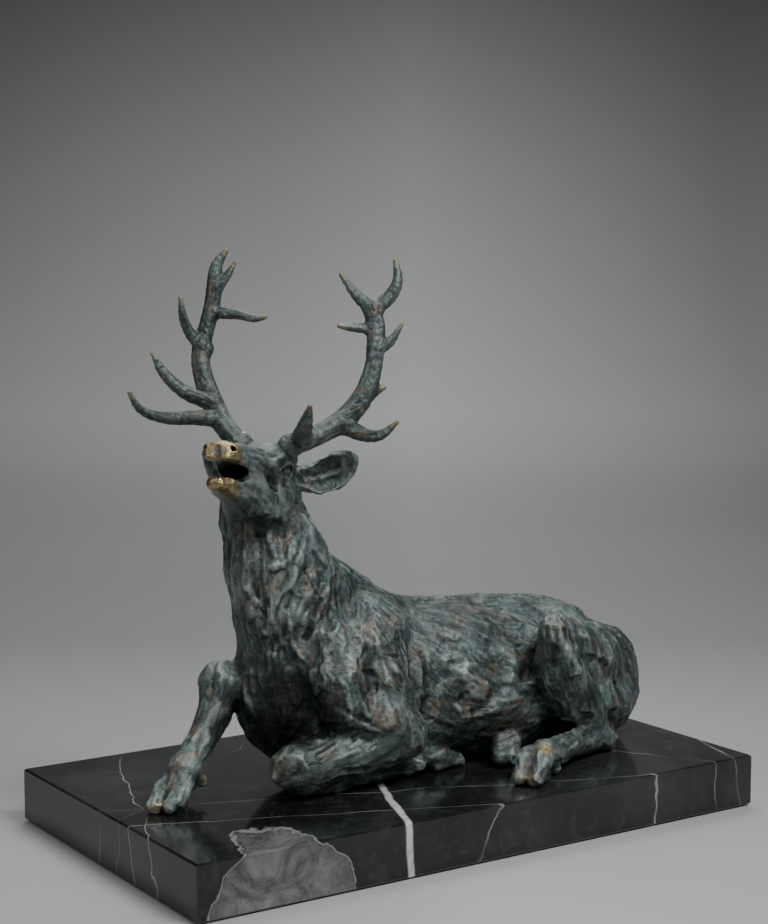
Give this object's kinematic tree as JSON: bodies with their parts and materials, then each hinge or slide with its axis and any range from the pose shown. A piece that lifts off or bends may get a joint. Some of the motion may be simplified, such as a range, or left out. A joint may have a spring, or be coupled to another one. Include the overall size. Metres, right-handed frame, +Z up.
{
  "type": "bronze stag statuette",
  "caption": "Recumbent bellowing stag in patinated bronze, cast in sections and bolted to a polished black marble base.",
  "frame": {"origin": "middle of the underside of the base", "axes": "+X along the base from the stag's head towards its rump, -Y towards the side that is displayed, +Z up"},
  "size_m": [0.36, 0.204, 0.319],
  "materials": {
    "patinated_bronze": "cast bronze with a dark blue-green patina, rubbed back to warm metal on high points",
    "black_marble": "polished black limestone marble with white calcite veins",
    "felt": "pressed wool felt, glued on",
    "brass_bar": "sawn brass bar, brazed in",
    "zinc_steel": "zinc-plated steel"
  },
  "bodies": {
    "root": {"marble_base": "black_marble", "base_felt": "felt", "body_casting": "patinated_bronze", "neck_casting": "patinated_bronze", "head_casting": "patinated_bronze", "left_ear": "patinated_bronze", "right_ear": "patinated_bronze", "left_antler": "patinated_bronze", "right_antler": "patinated_bronze", "antler_dowels": "zinc_steel", "left_foreleg": "patinated_bronze", "right_foreleg": "patinated_bronze", "left_hindleg": "patinated_bronze", "right_hindleg": "patinated_bronze", "right_hind_hoof": "patinated_bronze", "tail": "patinated_bronze", "front_bridge": "brass_bar", "rear_bridge": "brass_bar", "front_stud": "zinc_steel", "rear_stud": "zinc_steel", "hoof_pin": "zinc_steel", "stud_washers": "zinc_steel", "stud_nuts": "zinc_steel", "hoof_washer": "zinc_steel", "hoof_nut": "zinc_steel"}
  },
  "joints": []
}
